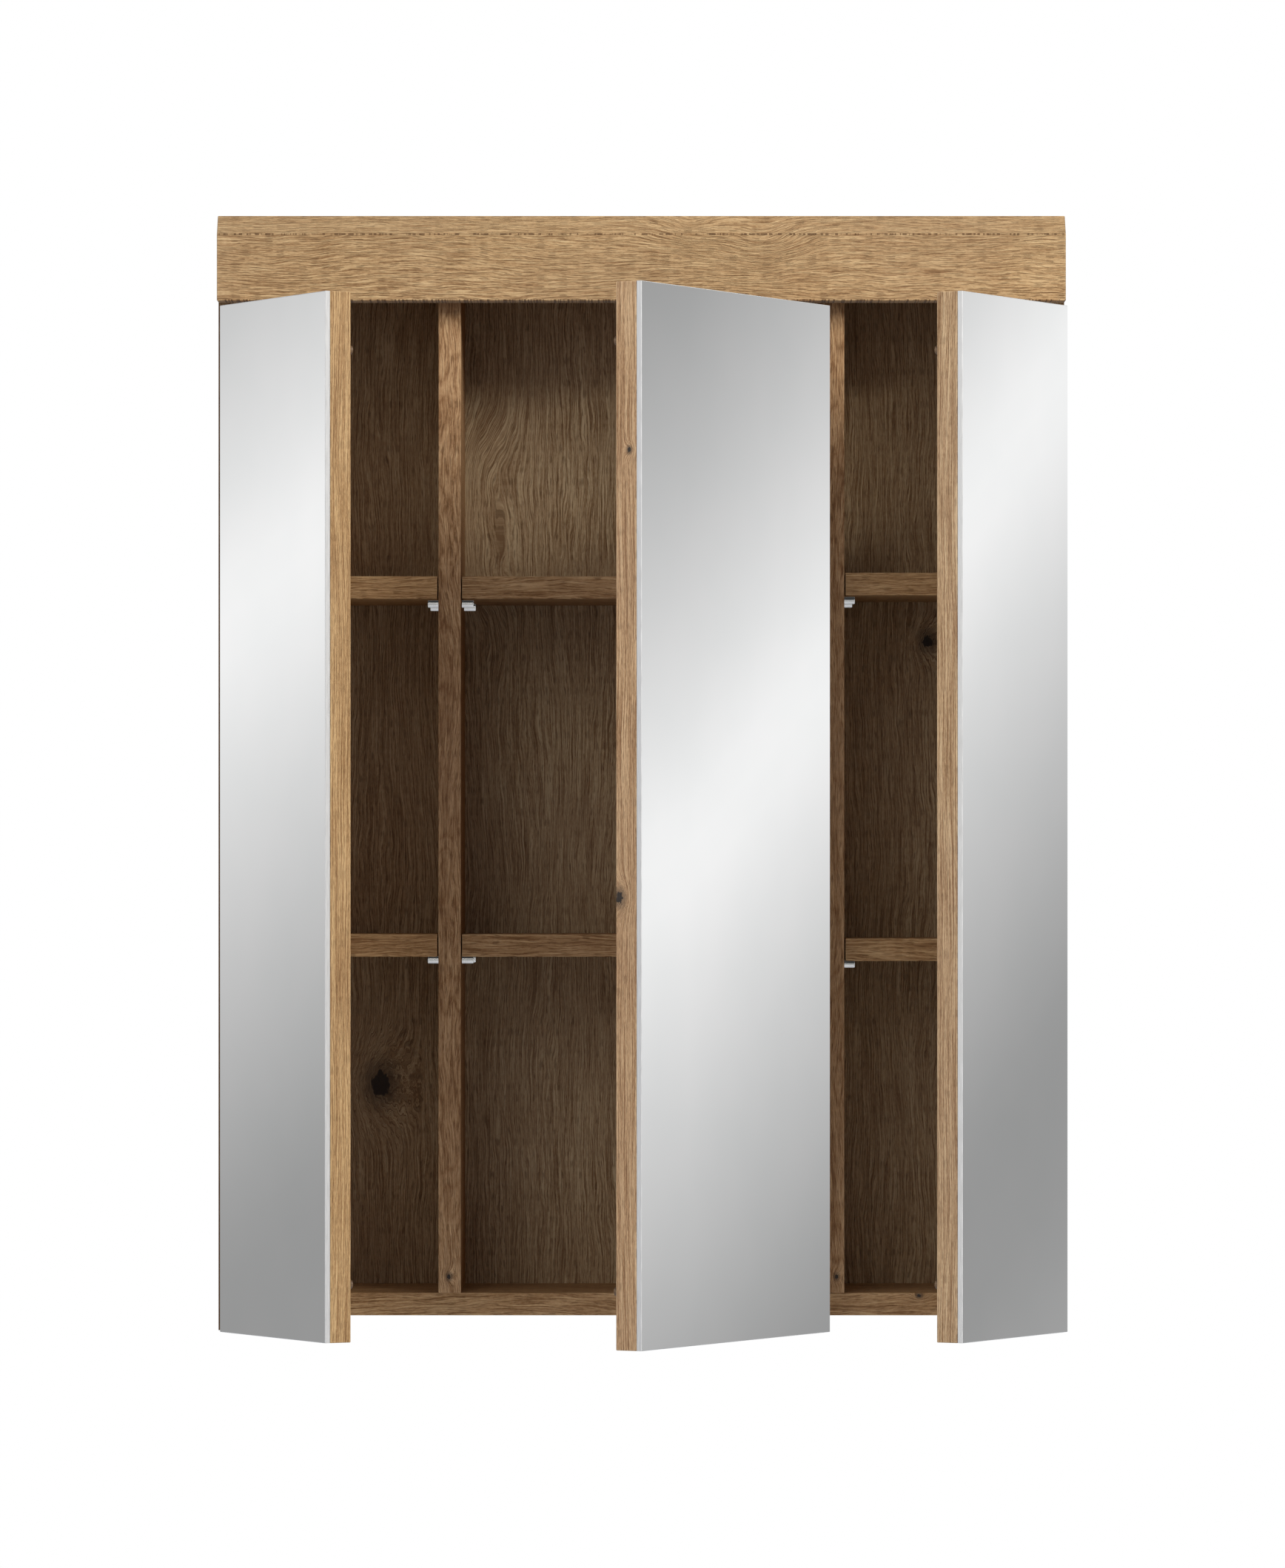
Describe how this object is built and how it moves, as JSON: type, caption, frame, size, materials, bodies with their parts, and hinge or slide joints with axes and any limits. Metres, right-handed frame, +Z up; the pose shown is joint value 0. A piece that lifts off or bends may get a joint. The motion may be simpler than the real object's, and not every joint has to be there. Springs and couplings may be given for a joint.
{
  "type": "mirror cabinet",
  "caption": "Wall-hung bathroom cabinet with mirrored doors on concealed hinges, open compartments with loose shelves and a bevelled crown board.",
  "frame": {"origin": "midway between the two wall-hook slots, in the plane of the wall", "axes": "+X to the viewer's right, +Y into the wall, +Z up"},
  "size_m": [0.6011, 0.4035, 0.79],
  "materials": {
    "oak_crown": "embossed honey oak decor, grain level",
    "oak_door": "embossed honey oak decor, grain upright",
    "oak_side": "embossed honey oak decor, grain upright",
    "oak_divider": "embossed honey oak decor, grain upright",
    "oak_cross_panel": "embossed honey oak decor, grain level",
    "oak_shelf": "embossed honey oak decor, grain level",
    "back_decor": "printed oak decor, grain upright, with knots",
    "mirror": "silvered float glass, ground and polished edges",
    "glue": "mirror adhesive tape",
    "bumper": "clear soft plastic",
    "beech": "raw beech",
    "die_cast_zinc": "die-cast zinc, nickel plated",
    "nickel": "bright nickel",
    "nickel_steel": "nickel-plated sheet steel",
    "zinc_plated_steel": "zinc-plated steel"
  },
  "bodies": {
    "carcass": {"arm_pins": "zinc_plated_steel", "arm_screws": "zinc_plated_steel", "back_panel": "back_decor", "back_panel_nails": "zinc_plated_steel", "bottom_panel": "oak_cross_panel", "cam_bolts": "zinc_plated_steel", "cam_locks": "die_cast_zinc", "crown_board": "oak_crown", "divider_screws": "zinc_plated_steel", "hanger_screws": "zinc_plated_steel", "hinge_mounting_plates": "nickel_steel", "left_divider": "oak_divider", "left_hinge_arms": "nickel_steel", "left_lower_shelf": "oak_shelf", "left_side_panel": "oak_side", "left_upper_shelf": "oak_shelf", "left_wall_hanger": "nickel_steel", "middle_hinge_arms": "nickel_steel", "middle_lower_shelf": "oak_shelf", "middle_upper_shelf": "oak_shelf", "plate_screws": "zinc_plated_steel", "right_divider": "oak_divider", "right_hinge_arms": "nickel_steel", "right_lower_shelf": "oak_shelf", "right_side_panel": "oak_side", "right_upper_shelf": "oak_shelf", "right_wall_hanger": "nickel_steel", "shelf_pins": "nickel", "top_panel": "oak_cross_panel", "wooden_dowels": "beech"},
    "left_door": {"left_cup_pins": "zinc_plated_steel", "left_cup_screws": "zinc_plated_steel", "left_door_board": "oak_door", "left_door_bumpers": "bumper", "left_hinge_cups": "die_cast_zinc", "left_mirror": "mirror", "left_mirror_glue": "glue"},
    "left_cranks": {"left_elbow_pins": "zinc_plated_steel", "left_hinge_cranks": "nickel_steel"},
    "left_couplers": {"left_hinge_couplers": "nickel_steel"},
    "middle_door": {"middle_cup_pins": "zinc_plated_steel", "middle_cup_screws": "zinc_plated_steel", "middle_door_board": "oak_door", "middle_door_bumpers": "bumper", "middle_hinge_cups": "die_cast_zinc", "middle_mirror": "mirror", "middle_mirror_glue": "glue"},
    "middle_cranks": {"middle_elbow_pins": "zinc_plated_steel", "middle_hinge_cranks": "nickel_steel"},
    "middle_couplers": {"middle_hinge_couplers": "nickel_steel"},
    "right_door": {"right_cup_pins": "zinc_plated_steel", "right_cup_screws": "zinc_plated_steel", "right_door_board": "oak_door", "right_door_bumpers": "bumper", "right_hinge_cups": "die_cast_zinc", "right_mirror": "mirror", "right_mirror_glue": "glue"},
    "right_cranks": {"right_elbow_pins": "zinc_plated_steel", "right_hinge_cranks": "nickel_steel"},
    "right_couplers": {"right_hinge_couplers": "nickel_steel"}
  },
  "joints": [
    {"name": "left_door_hinge", "type": "hinge", "parent": "carcass", "child": "left_door", "pos_m": [-0.29845, -0.17095, 0], "axis": [0, 0, -1], "range_deg": [-60.3, 34.7]},
    {"name": "left_crank_pivot", "type": "hinge", "parent": "carcass", "child": "left_cranks", "pos_m": [-0.276, -0.15, 0], "axis": [0, 0, -1], "range_deg": [-60.3, 34.7]},
    {"name": "left_elbow_pivot", "type": "hinge", "parent": "left_cranks", "child": "left_couplers", "pos_m": [-0.25276, -0.16259, 0], "axis": [0, 0, -1], "range_deg": [-34.7, 60.3]},
    {"name": "middle_door_hinge", "type": "hinge", "parent": "carcass", "child": "middle_door", "pos_m": [0.13395, -0.17095, 0], "axis": [0, 0, 1], "range_deg": [-60.3, 34.7]},
    {"name": "middle_crank_pivot", "type": "hinge", "parent": "carcass", "child": "middle_cranks", "pos_m": [0.1115, -0.15, 0], "axis": [0, 0, 1], "range_deg": [-60.3, 34.7]},
    {"name": "middle_elbow_pivot", "type": "hinge", "parent": "middle_cranks", "child": "middle_couplers", "pos_m": [0.08826, -0.16259, 0], "axis": [0, 0, 1], "range_deg": [-34.7, 60.3]},
    {"name": "right_door_hinge", "type": "hinge", "parent": "carcass", "child": "right_door", "pos_m": [0.30015, -0.168, 0], "axis": [0, 0, 1], "range_deg": [-60.3, 34.7]},
    {"name": "right_crank_pivot", "type": "hinge", "parent": "carcass", "child": "right_cranks", "pos_m": [0.276, -0.15, 0], "axis": [0, 0, 1], "range_deg": [-60.3, 34.7]},
    {"name": "right_elbow_pivot", "type": "hinge", "parent": "right_cranks", "child": "right_couplers", "pos_m": [0.25448, -0.16553, 0], "axis": [0, 0, 1], "range_deg": [-34.7, 60.3]}
  ],
  "couplings": [
    {"joint": "left_crank_pivot", "follows": "left_door_hinge", "ratio": 1},
    {"joint": "left_elbow_pivot", "follows": "left_door_hinge", "ratio": -1},
    {"joint": "middle_crank_pivot", "follows": "middle_door_hinge", "ratio": 1},
    {"joint": "middle_elbow_pivot", "follows": "middle_door_hinge", "ratio": -1},
    {"joint": "right_crank_pivot", "follows": "right_door_hinge", "ratio": 1},
    {"joint": "right_elbow_pivot", "follows": "right_door_hinge", "ratio": -1}
  ]
}
